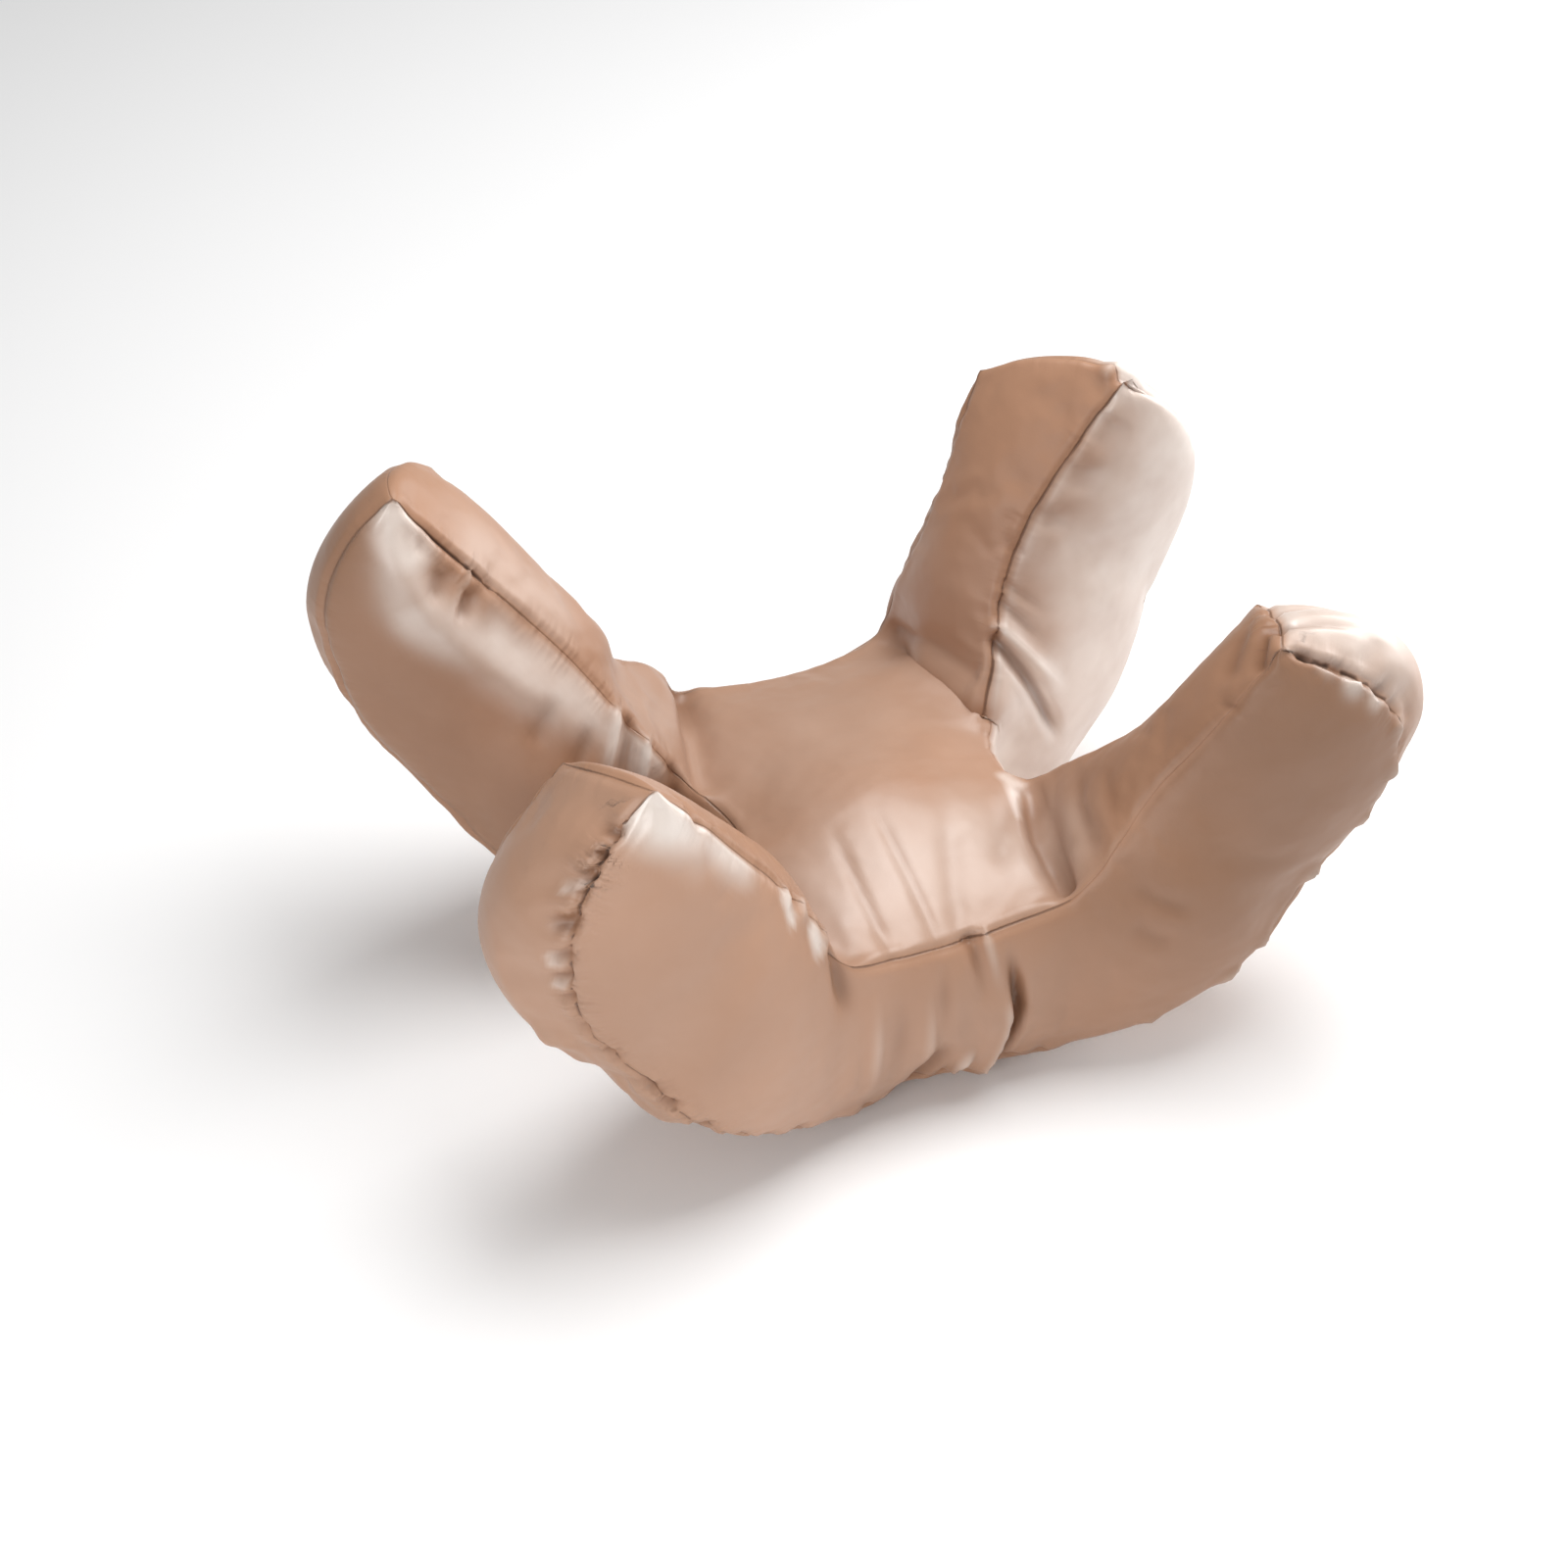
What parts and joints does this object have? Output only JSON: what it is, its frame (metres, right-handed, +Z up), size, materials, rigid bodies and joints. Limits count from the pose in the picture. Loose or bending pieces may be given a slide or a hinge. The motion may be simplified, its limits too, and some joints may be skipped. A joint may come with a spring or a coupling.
{
  "type": "anti-wrinkle pillow",
  "caption": "Satin-covered filled pillow: a low crowned pad whose thick corner arms curl upwards to cradle a head and keep the face off the bed.",
  "frame": {"origin": "middle of the flat resting face under the pad", "axes": "+X along the pillow's width from the left arms to the right arms, +Y from the front edge to the back edge, +Z up"},
  "size_m": [0.4815, 0.2912, 0.3031],
  "materials": {
    "cover": "champagne rose satin, soft sheen"
  },
  "bodies": {
    "root": {"pillow": "cover"}
  },
  "joints": []
}
